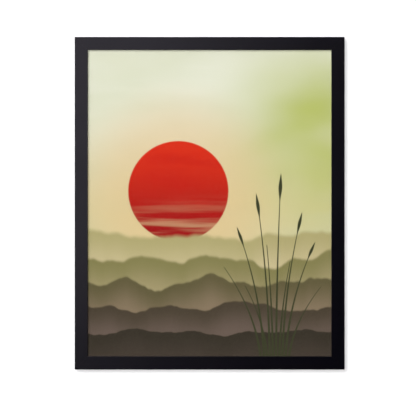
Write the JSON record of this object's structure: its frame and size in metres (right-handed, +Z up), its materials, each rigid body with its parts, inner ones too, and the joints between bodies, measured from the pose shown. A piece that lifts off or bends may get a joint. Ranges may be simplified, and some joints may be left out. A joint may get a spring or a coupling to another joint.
{
  "type": "framed wall picture",
  "caption": "Portrait picture behind glass in a flat black mitred wooden frame, closed at the back by turn buttons and hung from a toothed hanger.",
  "frame": {"origin": "middle notch of the toothed hanger on the back of the top rail, where the picture rests on the wall's nail", "axes": "+Z up, +Y towards the wall, so the picture faces -Y, and +X to the right seen from the front"},
  "size_m": [0.43, 0.0223, 0.53],
  "materials": {
    "black_paint": "satin black paint on wood",
    "glass": "clear",
    "print_paper": "smooth matt print",
    "filler_card": "matt",
    "hardboard": "bare hardboard",
    "zinc_steel": "zinc plated",
    "rubber": "matt"
  },
  "bodies": {
    "frame": {"rail_top": "black_paint", "rail_right": "black_paint", "rail_bottom": "black_paint", "rail_left": "black_paint", "glass": "glass", "print_sheet": "print_paper", "filler_board": "filler_card", "backing_board": "hardboard", "button_screw_top_1": "zinc_steel", "button_screw_top_2": "zinc_steel", "button_screw_right_1": "zinc_steel", "button_screw_bottom_1": "zinc_steel", "button_screw_bottom_2": "zinc_steel", "button_screw_left_1": "zinc_steel", "hanger": "zinc_steel", "hanger_nail_1": "zinc_steel", "hanger_nail_2": "zinc_steel", "wall_pad_right": "rubber", "wall_pad_left": "rubber", "corner_angle_top_right": "zinc_steel", "corner_angle_right_bottom": "zinc_steel", "corner_angle_bottom_left": "zinc_steel", "corner_angle_left_top": "zinc_steel"},
    "button_top_1": {"turn_button_top_1": "zinc_steel"},
    "button_top_2": {"turn_button_top_2": "zinc_steel"},
    "button_right_1": {"turn_button_right_1": "zinc_steel"},
    "button_bottom_1": {"turn_button_bottom_1": "zinc_steel"},
    "button_bottom_2": {"turn_button_bottom_2": "zinc_steel"},
    "button_left_1": {"turn_button_left_1": "zinc_steel"}
  },
  "joints": [
    {"name": "turn_top_1", "type": "hinge", "parent": "frame", "child": "button_top_1", "pos_m": [-0.11, -0.0023, 0.0033], "axis": [0, 1, 0], "continuous": true},
    {"name": "turn_top_2", "type": "hinge", "parent": "frame", "child": "button_top_2", "pos_m": [0.11, -0.0023, 0.0033], "axis": [0, 1, 0], "continuous": true},
    {"name": "turn_right_1", "type": "hinge", "parent": "frame", "child": "button_right_1", "pos_m": [0.208, -0.0023, -0.2547], "axis": [0, 1, 0], "continuous": true},
    {"name": "turn_bottom_1", "type": "hinge", "parent": "frame", "child": "button_bottom_1", "pos_m": [0.11, -0.0023, -0.5127], "axis": [0, 1, 0], "continuous": true},
    {"name": "turn_bottom_2", "type": "hinge", "parent": "frame", "child": "button_bottom_2", "pos_m": [-0.11, -0.0023, -0.5127], "axis": [0, 1, 0], "continuous": true},
    {"name": "turn_left_1", "type": "hinge", "parent": "frame", "child": "button_left_1", "pos_m": [-0.208, -0.0023, -0.2547], "axis": [0, 1, 0], "continuous": true}
  ]
}
